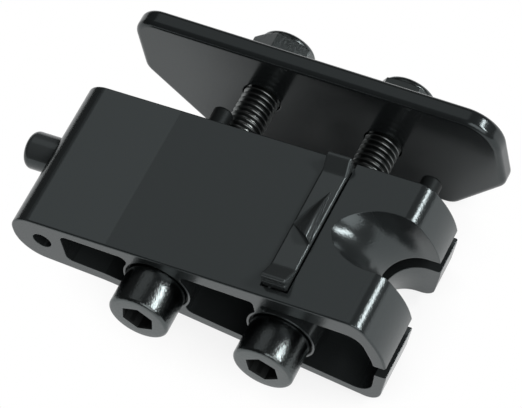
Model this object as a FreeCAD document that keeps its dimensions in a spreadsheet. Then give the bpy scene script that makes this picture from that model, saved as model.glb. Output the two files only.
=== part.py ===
import FreeCAD, Part
import math
import os
import re
import Sketcher

# Bike lock bracket. All sizes in millimetres.
# Frame: X runs along the housing (nose towards -X, shackle notch towards +X),
# Y runs along the clamp bolts (heads towards -Y, clamp plate towards +Y), Z is up.
# The origin lies on the housing's back face, midway between the two bolts.

SIZES = {
    # housing block, drawn in the XZ plane
    "width": (35.0, "housing width along Y"),
    "top_z": (11.0, "height of the top face"),
    "nose_x": (-45.9, "nose tip"),
    "nose_low_z": (-1.2, "underside at the nose"),
    "nose_top_r": (5.0, "upper rounding of the nose"),
    "nose_low_r": (7.0, "lower rounding of the nose"),
    "bend_x": (-25.75, "where the underside steepens"),
    "bend_z": (-3.3, "height of that bend"),
    "bend_r": (30.0, "rounding of that bend"),
    "end_top_x": (32.4, "right end at the top, before rounding"),
    "end_top_r": (4.5, "rounding there"),
    "end_mid_x": (37.8, "right end at the bulge, before rounding"),
    "end_mid_z": (-0.3, "height of the bulge"),
    "end_mid_r": (20.0, "rounding of the bulge"),
    "end_low_x": (32.7, "right end at the bottom"),
    "end_low_z": (-16.6, "lowest corner"),
    "end_low_r": (3.5, "rounding there"),
    "rim_r": (0.4, "rounding of the front and back rims"),
    # front cavity
    "cav_depth": (9.5, "depth of the front pockets"),
    "wall_nose": (11.6, "nose in front of the pockets"),
    "wall_top_left": (2.1, "top wall at the nose"),
    "wall_top_right": (4.5, "top wall at the right end"),
    "wall_nose_low": (1.9, "floor under the left pocket"),
    "wall_bend": (3.0, "floor at the bend"),
    "wall_end_top": (0.4, "end pocket's top corner, left of the end's"),
    "wall_end_mid": (3.6, "end wall at the bulge"),
    "wall_end_low": (1.3, "end wall at the bottom"),
    "wall_low": (2.6, "floor at the lowest corner"),
    "cav_r": (1.5, "rounding of the pocket corners"),
    "web_r": (0.8, "rounding of the web's corners"),
    "cav_end_z": (-3.2, "height where the end pocket reaches furthest"),
    "cav_end_r": (15.0, "rounding of the pocket end"),
    "cav_bend_r": (4.0, "rounding of its upper and lower corners"),
    # bolts and their bosses
    "bolt_x": (13.5, "bolts either side of the middle"),
    "bolt_z": (1.95, "left bolt above, right bolt below the middle"),
    "boss_r": (7.4, "outside of the boss"),
    "seat_r": (6.95, "counterbore round the bolt head"),
    "seat_depth": (1.5, "depth of the counterbore"),
    "bolt_hole_r": (4.25, "bolt hole"),
    "web_x": (8.9, "web beside the right boss"),
    "web_w": (1.7, "web thickness"),
    "web_low_z": (2.5, "lower end of the web inside the boss"),
    "head_r": (6.5, "bolt head"),
    "head_h": (10.0, "head height"),
    "head_gap": (0.05, "running gap under the head"),
    "head_c": (0.9, "head chamfer"),
    "hex_af": (6.0, "socket across flats"),
    "hex_depth": (5.0, "socket depth"),
    "hex_turn_left": (17.0, "how the left socket is turned"),
    "hex_turn_right": (31.0, "how the right socket is turned"),
    "nut_turn_left": (33.0, "how the left nut is turned"),
    "nut_turn_right": (56.5, "how the right nut is turned"),
    "shank_r": (4.0, "bolt shank"),
    "shank_l": (60.0, "length under the head"),
    "tip_c": (0.8, "chamfer of the bolt end"),
    # nose plunger, its spring and its cross pin
    "plunger_y": (-15.6, "plunger axis"),
    "plunger_z": (4.9, "plunger axis"),
    "plunger_r": (4.0, "plunger"),
    "plunger_out_x": (-52.0, "outer end"),
    "plunger_in_x": (-34.0, "inner end"),
    "plunger_end_r": (1.4, "rounding of the outer end"),
    "bore_r": (4.08, "plunger bore"),
    "bore_end_x": (-21.5, "end of the bore"),
    "pin_x": (-39.1, "cross pin"),
    "pin_r": (2.1, "cross pin radius"),
    "pin_l": (25.0, "cross pin length"),
    "stroke": (4.0, "plunger stroke"),
    "slot_play": (0.08, "play of the pin in the plunger's slot"),
    "coil_r": (2.6, "spring, middle of the wire"),
    "wire_r": (0.4, "spring wire"),
    "coil_pitch": (1.95, "spring pitch"),
    "coil_play": (0.05, "play at each end of the spring"),
    # shackle notch and slit in the right end
    "notch_x": (26.6, "saddle of the notch, where it is least deep"),
    "notch_y": (-15.5, "middle of the notch"),
    "notch_z": (-4.0, "height of the saddle"),
    "notch_r": (6.9, "notch radius"),
    "notch_bend_r": (17.3, "bend of the saddle, seen from the front"),
    "notch_sweep": (140.0, "sweep of that bend in degrees"),
    "slit_x": (22.0, "inner end of the slit"),
    "slit_top_z": (-2.4, "slit top"),
    "slit_low_z": (-5.9, "slit bottom"),
    # catch strip
    "strip_x": (10.45, "left side of the strip"),
    "strip_w": (5.3, "strip width"),
    "strip_front_y": (-32.4, "front end"),
    "strip_step_y": (-32.0, "step in the front end"),
    "strip_step_z": (12.4, "height of that step"),
    "strip_lip_y": (-31.7, "top of the front lip"),
    "strip_lip_z": (14.0, "height of the front lip"),
    "strip_tray_y": (-27.8, "front end of the tray"),
    "strip_tray_z": (11.9, "top of the tray"),
    "strip_rise_y": (-4.3, "foot of the back lip"),
    "strip_back_y": (-1.5, "top of the back lip"),
    "strip_back_z": (13.9, "height of the back lip"),
    "strip_end_y": (-0.7, "back end"),
    "ridge_point_x": (14.3, "point in which the ridge begins"),
    "ridge_back_y": (-9.4, "its place along the strip"),
    "ridge_under": (0.2, "its depth under the tray"),
    "ridge_front_y": (-22.0, "front of the ridge before its slanted cut"),
    "ridge_crest_x": (15.2, "crest at that front"),
    "ridge_top_z": (13.75, "height of the crest"),
    "ridge_wide_x": (8.6, "left foot at that front, before it is cut to the strip's side"),
    "ridge_wide_z": (12.85, "height of the left foot"),
    "ridge_right_z": (12.3, "height of the right foot"),
    "ridge_cut_left_y": (-17.9, "slanted front of the ridge, left side"),
    "ridge_cut_right_y": (-21.4, "slanted front of the ridge, right side"),
    "knuckle_y": (-3.2, "pivot of the strip"),
    "knuckle_z": (10.1, "height of the pivot"),
    "knuckle_r": (1.3, "pivot knuckle"),
    "knuckle_play": (0.06, "play in its socket"),
    "channel_play": (0.35, "gap round the strip"),
    "channel_depth": (2.2, "channel under the strip"),
    # clamp plate
    "gap": (13.6, "housing to plate"),
    "plate_t": (4.2, "plate thickness"),
    "plate_left_x": (-41.0, "left edge"),
    "plate_right_x": (40.5, "right edge"),
    "plate_top_left_z": (17.6, "top edge at the left"),
    "plate_top_right_z": (14.7, "top edge at the right"),
    "plate_left_z": (0.8, "left edge ends"),
    "plate_right_z": (-4.0, "right edge ends"),
    "plate_low_left_x": (-26.3, "lower edge, left end"),
    "plate_low_left_z": (-17.3, "its height"),
    "plate_low_right_x": (27.5, "lower edge, right end"),
    "plate_low_right_z": (-16.8, "its height"),
    "plate_top_left_r": (5.5, "upper left corner"),
    "plate_top_right_r": (8.0, "upper right corner"),
    "plate_low_r": (4.0, "lower corners"),
    "plate_rim_r": (1.2, "rounding of the plate's rims"),
    "plate_hole_r": (4.3, "plate holes"),
    # nuts
    "nut_af": (13.0, "across flats"),
    "nut_h": (7.9, "height of the hexagon"),
    "nut_bore_r": (4.05, "bore"),
    "nut_c": (0.9, "chamfer of the corners"),
    "nut_c_in": (0.3, "chamfer starts inside the flats"),
    "collar_r": (6.1, "locking collar"),
    "collar_h": (1.6, "height of the collar"),
    "collar_edge_r": (1.1, "rounding of the collar"),
    "insert_r": (5.2, "locking ring in the collar"),
    "insert_h": (2.4, "height of that ring"),
    "insert_deep": (1.4, "how far that ring goes down into the hexagon"),
    # bumpers on the back face
    "bump_r": (2.2, "bumper"),
    "bump_h": (4.2, "height"),
    "bump_edge_r": (0.6, "rounding of the end"),
    "rest_r": (2.3, "shallow recess round the bumper"),
    "rest_depth": (0.5, "depth of that recess"),
    "stem_r": (1.2, "stem"),
    "stem_l": (3.5, "stem length"),
    "bump_left_x": (-16.4, "left bumper"),
    "bump_left_z": (8.0, "its height"),
    "bump_right_x": (30.0, "right bumper"),
    "bump_right_z": (5.9, "its height"),
}

doc = FreeCAD.newDocument("lock_bracket")
sheet = doc.addObject("Spreadsheet::Sheet", "sheet")
for row, (alias, (size, note)) in enumerate(SIZES.items(), start=1):
    sheet.set("A%d" % row, note)
    sheet.set("B%d" % row, str(size))
    sheet.setAlias("B%d" % row, alias)
doc.recompute()

V = FreeCAD.Vector


def term(text):
    """Value of one product such as head_r, 2*boss_r or hex_af/2."""
    over, _, under = text.partition("/")
    result = 1.0
    for piece in over.split("*"):
        result *= SIZES[piece][0] if piece in SIZES else float(piece)
    return result / float(under) if under else result


def amount(text):
    """Value of a sum of products whose signs stand between spaces."""
    total, sign = 0.0, 1.0
    for word in str(text).split():
        if word in "+-":
            sign = 1.0 if word == "+" else -1.0
        else:
            total += sign * term(word)
            sign = 1.0
    return total


def linked(text):
    """The same sum as an expression that reads the sheet."""
    return re.sub(r"[a-z]\w*", lambda name: "sheet." + name.group(0), str(text))


def new_body(name):
    body = doc.addObject("PartDesign::Body", name)
    body.Label = name
    return body


def new_sketch(body, name, plane, lift="0"):
    """Empty sketch on one of the body's origin planes, lifted along its normal."""
    sketch = body.newObject("Sketcher::SketchObject", name)
    support = [f for f in body.Origin.OriginFeatures if f.Role == plane + "_Plane"][0]
    sketch.AttachmentSupport = [(support, "")]
    sketch.MapMode = "FlatFace"
    sketch.AttachmentOffset = FreeCAD.Placement(V(0, 0, amount(lift)), FreeCAD.Rotation())
    sketch.setExpression("AttachmentOffset.Base.z", linked(lift))
    return sketch


def tie(sketch, geo, end, u, v):
    """Hold a point of the sketch at two sheet values measured from the origin."""
    for kind, text in (("DistanceX", u), ("DistanceY", v)):
        where = sketch.addConstraint(Sketcher.Constraint(kind, -1, 1, geo, end, amount(text)))
        sketch.setExpression("Constraints[%d]" % where, linked(text))


def add_polygon(sketch, corners):
    first = sketch.GeometryCount
    count = len(corners)
    points = [V(amount(u), amount(v), 0) for u, v in corners]
    for k in range(count):
        sketch.addGeometry(Part.LineSegment(points[k], points[(k + 1) % count]), False)
    for k in range(count):
        sketch.addConstraint(Sketcher.Constraint("Coincident", first + k, 2, first + (k + 1) % count, 1))
    for k, (u, v) in enumerate(corners):
        tie(sketch, first + k, 1, u, v)


def add_circle(sketch, u, v, radius):
    geo = sketch.addGeometry(Part.Circle(V(amount(u), amount(v), 0), V(0, 0, 1), amount(radius)), False)
    tie(sketch, geo, 3, u, v)
    where = sketch.addConstraint(Sketcher.Constraint("Radius", geo, amount(radius)))
    sketch.setExpression("Constraints[%d]" % where, linked(radius))


def add_hexagon(sketch, flats, turn):
    """Regular hexagon about the sketch's origin, turned by an angle in degrees."""
    corner = amount(flats) / math.sqrt(3)
    for k in range(6):
        ends = []
        for step in (k, k + 1):
            angle = math.radians(60 * step + amount(turn))
            ends.append(V(corner * math.cos(angle), corner * math.sin(angle), 0))
        sketch.addGeometry(Part.LineSegment(ends[0], ends[1]), False)
    for k in range(6):
        sketch.addConstraint(Sketcher.Constraint("Coincident", k, 2, (k + 1) % 6, 1))
    for k in range(6):
        for kind, wave in (("DistanceX", "cos"), ("DistanceY", "sin")):
            angle = math.radians(60 * k + amount(turn))
            size = corner * (math.cos(angle) if wave == "cos" else math.sin(angle))
            where = sketch.addConstraint(Sketcher.Constraint(kind, -1, 1, k, 1, size))
            text = "%s / sqrt(3) * %s((%s + %d) * 1 deg)" % (linked(flats), wave, linked(turn), 60 * k)
            sketch.setExpression("Constraints[%d]" % where, text)


def pad(body, name, sketch, length):
    feature = body.newObject("PartDesign::Pad", name)
    feature.Profile = sketch
    feature.Length = amount(length)
    feature.setExpression("Length", linked(length))
    doc.recompute()
    return feature


def pocket(body, name, sketch, length=None, along=False):
    """Cut against the sketch's normal, or along it; all the way if no length is given."""
    feature = body.newObject("PartDesign::Pocket", name)
    feature.Profile = sketch
    feature.Reversed = along
    if length is None:
        feature.Type = 1
    else:
        feature.Length = amount(length)
        feature.setExpression("Length", linked(length))
    doc.recompute()
    return feature


def revolve(body, name, sketch, cut=False, axis="V_Axis"):
    feature = body.newObject("PartDesign::Groove" if cut else "PartDesign::Revolution", name)
    feature.Profile = sketch
    feature.ReferenceAxis = (sketch, [axis])
    feature.Angle = 360.0
    doc.recompute()
    return feature


def round_edges(body, name, base, radius, test):
    """Fillet on those edges of the base feature that pass the test."""
    picked = ["Edge%d" % k for k, edge in enumerate(base.Shape.Edges, start=1) if test(edge)]
    feature = body.newObject("PartDesign::Fillet", name)
    feature.Base = (base, picked)
    feature.Radius = amount(radius)
    feature.setExpression("Radius", linked(radius))
    doc.recompute()
    return feature


def along_y(edge):
    """True for a straight edge that runs along Y."""
    if edge.Curve.TypeId != "Part::GeomLine":
        return False
    return abs(edge.Curve.Direction.y) > 0.999


def near_xz(edge, x, z, reach=0.4):
    middle = edge.CenterOfMass
    return math.hypot(middle.x - amount(x), middle.z - amount(z)) < reach


def flat_at_y(edge, y):
    """True for an edge that lies wholly in the plane at this Y."""
    box = edge.BoundBox
    return abs(box.YMin - amount(y)) < 1e-4 and abs(box.YMax - amount(y)) < 1e-4


def place(body, x="0", y="0", z="0"):
    body.Placement = FreeCAD.Placement(V(amount(x), amount(y), amount(z)), FreeCAD.Rotation())
    for letter, text in (("x", x), ("y", y), ("z", z)):
        body.setExpression("Placement.Base." + letter, linked(text))


BOLTS = (("left", "0 - bolt_x", "bolt_z"), ("right", "bolt_x", "0 - bolt_z"))


def cut_notch(body):
    """Round groove for the shackle, open to the right end and bent over a saddle."""
    notch = new_sketch(body, "notch_outline", "XY", "notch_z")
    bend_x = "notch_x - notch_bend_r"
    notch.AttachmentOffset = FreeCAD.Placement(
        V(amount(bend_x), amount("notch_y"), amount("notch_z")), FreeCAD.Rotation())
    notch.setExpression("AttachmentOffset.Base.x", linked(bend_x))
    notch.setExpression("AttachmentOffset.Base.y", "sheet.notch_y")
    centre = "notch_bend_r + notch_r"
    past_end = "end_mid_x - notch_x + notch_bend_r + notch_r"
    r, middle, reach = amount("notch_r"), amount(centre), amount(past_end)
    arc = Part.ArcOfCircle(Part.Circle(V(middle, 0, 0), V(0, 0, 1), r), math.pi / 2, 3 * math.pi / 2)
    notch.addGeometry(arc, False)
    notch.addGeometry(Part.LineSegment(V(middle, -r, 0), V(reach, -r, 0)), False)
    notch.addGeometry(Part.LineSegment(V(reach, -r, 0), V(reach, r, 0)), False)
    notch.addGeometry(Part.LineSegment(V(reach, r, 0), V(middle, r, 0)), False)
    tie(notch, 0, 3, centre, "0")
    notch.addConstraint(Sketcher.Constraint("Tangent", 0, 2, 1, 1))
    notch.addConstraint(Sketcher.Constraint("Coincident", 1, 2, 2, 1))
    notch.addConstraint(Sketcher.Constraint("Coincident", 2, 2, 3, 1))
    notch.addConstraint(Sketcher.Constraint("Tangent", 3, 2, 0, 1))
    notch.addConstraint(Sketcher.Constraint("Vertical", 2))
    notch.addConstraint(Sketcher.Constraint("Horizontal", 1))
    where = notch.addConstraint(Sketcher.Constraint("Radius", 0, r))
    notch.setExpression("Constraints[%d]" % where, "sheet.notch_r")
    where = notch.addConstraint(Sketcher.Constraint("DistanceX", -1, 1, 1, 2, reach))
    notch.setExpression("Constraints[%d]" % where, linked(past_end))
    groove = revolve(body, "notch", notch, cut=True)
    groove.Midplane = True
    groove.Angle = amount("notch_sweep")
    groove.setExpression("Angle", "sheet.notch_sweep * 1 deg")
    doc.recompute()
    return groove


def make_housing():
    """One moulded block with front pockets, bolt bosses, notch, slit and bores."""
    body = new_body("housing")
    outline = new_sketch(body, "housing_outline", "XZ")
    add_polygon(outline, [
        ("nose_x", "top_z"),
        ("end_top_x", "top_z"),
        ("end_mid_x", "end_mid_z"),
        ("end_low_x", "end_low_z"),
        ("bend_x", "bend_z"),
        ("nose_x", "nose_low_z"),
    ])
    tip = pad(body, "housing_block", outline, "width")
    corners = [
        ("nose_x", "top_z", "nose_top_r"),
        ("nose_x", "nose_low_z", "nose_low_r"),
        ("end_top_x", "top_z", "end_top_r"),
        ("end_mid_x", "end_mid_z", "end_mid_r"),
        ("end_low_x", "end_low_z", "end_low_r"),
        ("bend_x", "bend_z", "bend_r"),
    ]
    for k, (x, z, radius) in enumerate(corners):
        tip = round_edges(body, "housing_corner_%d" % k, tip, radius,
                          lambda edge: along_y(edge) and near_xz(edge, x, z))
    tip = round_edges(body, "housing_rims", tip, "rim_r",
                      lambda edge: flat_at_y(edge, "0 - width") or flat_at_y(edge, "0"))

    cavity = new_sketch(body, "cavity_outline", "XZ", "width")
    ends = [
        ("end_top_x - wall_end_top", "top_z - wall_top_right"),
        ("end_mid_x - wall_end_mid", "cav_end_z"),
        ("end_low_x - wall_end_low", "end_low_z + wall_low"),
    ]
    floor_bend = ("bend_x", "bend_z + wall_bend")
    floor_left = ("nose_x + wall_nose", "nose_low_z + wall_nose_low")
    roof_left = ("nose_x + wall_nose", "top_z - wall_top_left")
    add_polygon(cavity, [roof_left] + ends + [floor_bend, floor_left])
    tip = pocket(body, "cavity", cavity, "cav_depth")
    for k, (x, z) in enumerate(ends):
        tip = round_edges(body, "cavity_end_%d" % k, tip, "cav_end_r" if k == 1 else "cav_bend_r",
                          lambda edge: along_y(edge) and near_xz(edge, x, z))

    for side, x, z in BOLTS:
        ring = new_sketch(body, "boss_outline_" + side, "XZ", "width - cav_depth")
        add_circle(ring, x, z, "boss_r")
        tip = pad(body, "boss_" + side, ring, "cav_depth")
    web = new_sketch(body, "web_outline", "XZ", "width - cav_depth")
    add_polygon(web, [
        ("web_x", "web_low_z"),
        ("web_x + web_w", "web_low_z"),
        ("web_x + web_w", "top_z - wall_top_left/2"),
        ("web_x", "top_z - wall_top_left/2"),
    ])
    tip = pad(body, "web", web, "cav_depth")
    left, right = amount("nose_x + wall_nose") - 0.1, amount("bolt_x + boss_r")
    web_left, web_right = amount("web_x") - 0.1, amount("web_x + web_w") + 0.1

    def in_pocket(edge):
        """True for a full-depth corner of the pockets, apart from the bend in their floor."""
        middle = edge.CenterOfMass
        return (along_y(edge) and abs(edge.Length - amount("cav_depth")) < 1e-3
                and left < middle.x < right and not near_xz(edge, *floor_bend))

    def by_web(edge):
        middle = edge.CenterOfMass
        return web_left < middle.x < web_right and middle.z > 0

    tip = round_edges(body, "pocket_corners", tip, "cav_r",
                      lambda edge: in_pocket(edge) and not by_web(edge))
    tip = round_edges(body, "web_corners", tip, "web_r",
                      lambda edge: in_pocket(edge) and by_web(edge))

    for side, x, z in BOLTS:
        seat = new_sketch(body, "seat_outline_" + side, "XZ", "width")
        add_circle(seat, x, z, "seat_r")
        pocket(body, "seat_" + side, seat, "seat_depth")
        hole = new_sketch(body, "bolt_hole_outline_" + side, "XZ", "width")
        add_circle(hole, x, z, "bolt_hole_r")
        tip = pocket(body, "bolt_hole_" + side, hole)

    bore = new_sketch(body, "bore_outline", "YZ", "nose_x - 2")
    add_circle(bore, "plunger_y", "plunger_z", "bore_r")
    pocket(body, "plunger_bore", bore, "bore_end_x - nose_x + 2", along=True)
    cross = new_sketch(body, "cross_outline", "XZ", "width")
    add_circle(cross, "pin_x", "plunger_z", "pin_r")
    pocket(body, "cross_hole", cross)

    slit = new_sketch(body, "slit_outline", "XZ", "width")
    add_polygon(slit, [
        ("slit_x", "slit_low_z"),
        ("end_mid_x + notch_r", "slit_low_z"),
        ("end_mid_x + notch_r", "slit_top_z"),
        ("slit_x", "slit_top_z"),
    ])
    pocket(body, "slit", slit)

    tip = cut_notch(body)

    channel = new_sketch(body, "channel_outline", "XY", "top_z")
    add_polygon(channel, [
        ("strip_x - channel_play", "strip_front_y - channel_play"),
        ("strip_x + strip_w + channel_play", "strip_front_y - channel_play"),
        ("strip_x + strip_w + channel_play", "1"),
        ("strip_x - channel_play", "1"),
    ])
    pocket(body, "strip_channel", channel, "channel_depth")
    socket = new_sketch(body, "socket_outline", "YZ", "strip_x - channel_play")
    add_circle(socket, "knuckle_y", "knuckle_z", "knuckle_r + knuckle_play")
    tip = pocket(body, "strip_socket", socket, "strip_w + 2*channel_play", along=True)

    for side in ("left", "right"):
        rest = new_sketch(body, "bumper_rest_outline_" + side, "XZ")
        add_circle(rest, "bump_%s_x" % side, "bump_%s_z" % side, "rest_r")
        pocket(body, "bumper_rest_" + side, rest, "rest_depth", along=True)
        stem = new_sketch(body, "stem_hole_outline_" + side, "XZ")
        add_circle(stem, "bump_%s_x" % side, "bump_%s_z" % side, "stem_r")
        tip = pocket(body, "stem_hole_" + side, stem, "stem_l + 0.3", along=True)
    body.Tip = tip
    return body


def make_plunger():
    """Nose peg: a sliding pin with a slot for its cross pin."""
    body = new_body("plunger")
    outline = new_sketch(body, "plunger_outline", "YZ", "plunger_out_x")
    add_circle(outline, "0", "0", "plunger_r")
    tip = pad(body, "plunger_rod", outline, "plunger_in_x - plunger_out_x")
    tip = round_edges(body, "plunger_end", tip, "plunger_end_r",
                      lambda edge: abs(edge.BoundBox.XMax - amount("plunger_out_x")) < 1e-4)
    slot = new_sketch(body, "plunger_slot_outline", "XZ", "plunger_r + 1")
    half = "pin_r + slot_play"
    add_polygon(slot, [
        ("pin_x - stroke - pin_r - slot_play", "0 - pin_r - slot_play"),
        ("pin_x + pin_r + slot_play", "0 - pin_r - slot_play"),
        ("pin_x + pin_r + slot_play", half),
        ("pin_x - stroke - pin_r - slot_play", half),
    ])
    tip = pocket(body, "plunger_slot", slot)
    body.Tip = tip
    place(body, "0", "plunger_y", "plunger_z")
    return body


def make_pin():
    body = new_body("plunger_pin")
    outline = new_sketch(body, "pin_outline", "XZ", "0 - pin_l/2")
    add_circle(outline, "0", "0", "pin_r")
    tip = pad(body, "pin_rod", outline, "pin_l")
    body.Tip = tip
    place(body, "pin_x", "plunger_y", "plunger_z")
    return body


def make_spring():
    """Compression spring behind the plunger, wound about X."""
    body = new_body("plunger_spring")
    wire = new_sketch(body, "wire_outline", "XZ")
    start = "plunger_in_x + wire_r + coil_play"
    add_circle(wire, start, "coil_r", "wire_r")
    coil = body.newObject("PartDesign::AdditiveHelix", "coil")
    coil.Profile = wire
    coil.ReferenceAxis = (wire, ["H_Axis"])
    coil.Mode = 0
    coil.Pitch = amount("coil_pitch")
    coil.setExpression("Pitch", "sheet.coil_pitch")
    coil.Height = amount("bore_end_x - plunger_in_x - 2*wire_r - 2*coil_play")
    coil.setExpression("Height", linked("bore_end_x - plunger_in_x - 2*wire_r - 2*coil_play"))
    doc.recompute()
    body.Tip = coil
    place(body, "0", "plunger_y", "plunger_z")
    return body


def make_strip():
    """Moulded catch strip: finger lip, tray, latching ridge, back lip and pivot knuckle."""
    body = new_body("catch_strip")
    side = new_sketch(body, "strip_side", "YZ", "strip_x")
    add_polygon(side, [
        ("strip_step_y", "top_z"),
        ("strip_end_y", "top_z"),
        ("strip_end_y", "strip_back_z"),
        ("strip_back_y", "strip_back_z"),
        ("strip_rise_y", "strip_tray_z"),
        ("strip_tray_y", "strip_tray_z"),
        ("strip_lip_y", "strip_lip_z"),
        ("strip_front_y", "strip_lip_z"),
        ("strip_front_y", "strip_step_z"),
        ("strip_step_y", "strip_step_z"),
    ])
    pad(body, "strip_body", side, "strip_w")
    right_x, foot_z = "strip_x + strip_w", "strip_tray_z - ridge_under"
    ridge = new_sketch(body, "ridge_front_view", "XZ", "0 - ridge_front_y")
    add_polygon(ridge, [
        ("ridge_wide_x", foot_z),
        (right_x, foot_z),
        (right_x, "ridge_right_z"),
        ("ridge_crest_x", "ridge_top_z"),
        ("ridge_wide_x", "ridge_wide_z"),
    ])
    point = new_sketch(body, "ridge_point", "XZ", "0 - ridge_back_y")
    point.addGeometry(Part.Point(V(amount("ridge_point_x"), amount(foot_z), 0)), False)
    tie(point, 0, 1, "ridge_point_x", foot_z)
    wedge = body.newObject("PartDesign::AdditiveLoft", "ridge")
    wedge.Profile = ridge
    wedge.Sections = [(point, ["Vertex1"])]
    wedge.Ruled = True
    doc.recompute()
    trim = new_sketch(body, "ridge_trim_outline", "XY", "strip_back_z")
    add_polygon(trim, [
        ("ridge_wide_x - 1", "ridge_front_y - 1"),
        ("strip_x", "ridge_front_y - 1"),
        ("strip_x", "ridge_back_y"),
        ("ridge_wide_x - 1", "ridge_back_y"),
    ])
    pocket(body, "ridge_trim", trim)
    cut = new_sketch(body, "ridge_cut_outline", "XY", "strip_back_z")
    add_polygon(cut, [
        ("strip_x - 0.1", "ridge_front_y - 1"),
        ("strip_x + strip_w + 0.1", "ridge_front_y - 1"),
        ("strip_x + strip_w + 0.1", "ridge_cut_right_y"),
        ("strip_x - 0.1", "ridge_cut_left_y"),
    ])
    tip = pocket(body, "ridge_cut", cut, "strip_back_z - strip_tray_z")
    knuckle = new_sketch(body, "knuckle_outline", "YZ", "strip_x")
    add_circle(knuckle, "knuckle_y", "knuckle_z", "knuckle_r")
    tip = pad(body, "knuckle", knuckle, "strip_w")
    body.Tip = tip
    return body


def make_bolt(side, x, z):
    """Socket-head clamp bolt with a plain shank."""
    body = new_body("bolt_" + side)
    profile = new_sketch(body, "bolt_profile_" + side, "XY")
    seat = "seat_depth - width - head_gap"
    add_polygon(profile, [
        ("0", seat + " - head_h"),
        ("head_r - head_c", seat + " - head_h"),
        ("head_r", seat + " - head_h + head_c"),
        ("head_r", seat),
        ("shank_r", seat),
        ("shank_r", seat + " + shank_l - tip_c"),
        ("shank_r - tip_c", seat + " + shank_l"),
        ("0", seat + " + shank_l"),
    ])
    revolve(body, "bolt_blank_" + side, profile)
    socket = new_sketch(body, "bolt_socket_outline_" + side, "XZ", "width - seat_depth + head_gap + head_h")
    add_hexagon(socket, "hex_af", "hex_turn_" + side)
    tip = pocket(body, "bolt_socket_" + side, socket, "hex_depth")
    body.Tip = tip
    place(body, x, "0", z)
    return body


def make_plate():
    body = new_body("clamp_plate")
    outline = new_sketch(body, "plate_outline", "XZ", "0 - gap - plate_t")
    corners = [
        ("plate_left_x", "plate_top_left_z", "plate_top_left_r"),
        ("plate_right_x", "plate_top_right_z", "plate_top_right_r"),
        ("plate_right_x", "plate_right_z", "plate_low_r"),
        ("plate_low_right_x", "plate_low_right_z", "plate_low_r"),
        ("plate_low_left_x", "plate_low_left_z", "plate_low_r"),
        ("plate_left_x", "plate_left_z", "plate_low_r"),
    ]
    add_polygon(outline, [(x, z) for x, z, _ in corners])
    tip = pad(body, "plate_blank", outline, "plate_t")
    for k, (x, z, radius) in enumerate(corners):
        tip = round_edges(body, "plate_corner_%d" % k, tip, radius,
                          lambda edge: along_y(edge) and near_xz(edge, x, z))
    tip = round_edges(body, "plate_rims", tip, "plate_rim_r",
                      lambda edge: flat_at_y(edge, "gap") or flat_at_y(edge, "gap + plate_t"))
    holes = new_sketch(body, "plate_hole_outline", "XZ", "1 - gap")
    for _, x, z in BOLTS:
        add_circle(holes, x, z, "plate_hole_r")
    tip = pocket(body, "plate_holes", holes)
    body.Tip = tip
    return body


def make_nut(side, x, z):
    """Lock nut: a hexagon with chamfered corners and a round collar that holds a ring."""
    body = new_body("nut_" + side)
    outline = new_sketch(body, "nut_outline_" + side, "XZ", "0 - gap - plate_t - nut_h")
    add_hexagon(outline, "nut_af", "nut_turn_" + side)
    pad(body, "nut_blank_" + side, outline, "nut_h")
    face = "gap + plate_t + nut_h"
    chamfer = new_sketch(body, "nut_chamfer_outline_" + side, "XY")
    add_polygon(chamfer, [
        ("nut_af/2 - nut_c_in", face),
        ("nut_af/2 + nut_af/5", face + " - nut_c"),
        ("nut_af/2 + nut_af/5", face + " + nut_c"),
        ("nut_af/2 - nut_c_in", face + " + nut_c"),
    ])
    revolve(body, "nut_chamfer_" + side, chamfer, cut=True)
    ring = new_sketch(body, "collar_outline_" + side, "XZ", "0 - gap - plate_t - nut_h - collar_h")
    add_circle(ring, "0", "0", "collar_r")
    tip = pad(body, "collar_" + side, ring, "collar_h + nut_h/2")
    tip = round_edges(body, "collar_edge_" + side, tip, "collar_edge_r",
                      lambda edge: flat_at_y(edge, face + " + collar_h"))
    bore = new_sketch(body, "nut_bore_outline_" + side, "XZ", "0 - gap - plate_t + 1")
    add_circle(bore, "0", "0", "nut_bore_r")
    pocket(body, "nut_bore_" + side, bore)
    seat = new_sketch(body, "insert_seat_outline_" + side, "XZ", "insert_deep - gap - plate_t - nut_h")
    add_circle(seat, "0", "0", "insert_r")
    tip = pocket(body, "insert_seat_" + side, seat)
    body.Tip = tip
    place(body, x, "0", z)
    return body


def make_insert(side, x, z):
    """Plastic ring that grips the bolt inside the nut's collar."""
    body = new_body("nut_insert_" + side)
    outline = new_sketch(body, "insert_outline_" + side, "XZ",
                         "insert_deep - gap - plate_t - nut_h - insert_h")
    add_circle(outline, "0", "0", "insert_r")
    add_circle(outline, "0", "0", "nut_bore_r")
    tip = pad(body, "insert_ring_" + side, outline, "insert_h")
    body.Tip = tip
    place(body, x, "0", z)
    return body


def make_bumper(side):
    """Rubber bumper with a stem pressed into the back face."""
    body = new_body("bumper_" + side)
    profile = new_sketch(body, "bumper_profile_" + side, "XY")
    add_polygon(profile, [
        ("0", "0 - stem_l"),
        ("stem_r", "0 - stem_l"),
        ("stem_r", "0 - rest_depth"),
        ("bump_r", "0 - rest_depth"),
        ("bump_r", "bump_h"),
        ("0", "bump_h"),
    ])
    tip = revolve(body, "bumper_blank_" + side, profile)
    tip = round_edges(body, "bumper_end_" + side, tip, "bump_edge_r",
                      lambda edge: flat_at_y(edge, "bump_h"))
    body.Tip = tip
    place(body, "bump_%s_x" % side, "0", "bump_%s_z" % side)
    return body


bodies = [make_housing(), make_plunger(), make_pin(), make_spring(), make_strip()]
bodies += [make_bolt(*bolt) for bolt in BOLTS]
bodies += [make_plate()]
bodies += [make_nut(*bolt) for bolt in BOLTS]
bodies += [make_insert(*bolt) for bolt in BOLTS]
bodies += [make_bumper(side) for side in ("left", "right")]
doc.recompute()

for thing in doc.Objects:
    if "Invalid" in thing.State or "Error" in thing.State:
        raise RuntimeError("%s did not build: %s" % (thing.Label, thing.State))

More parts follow.
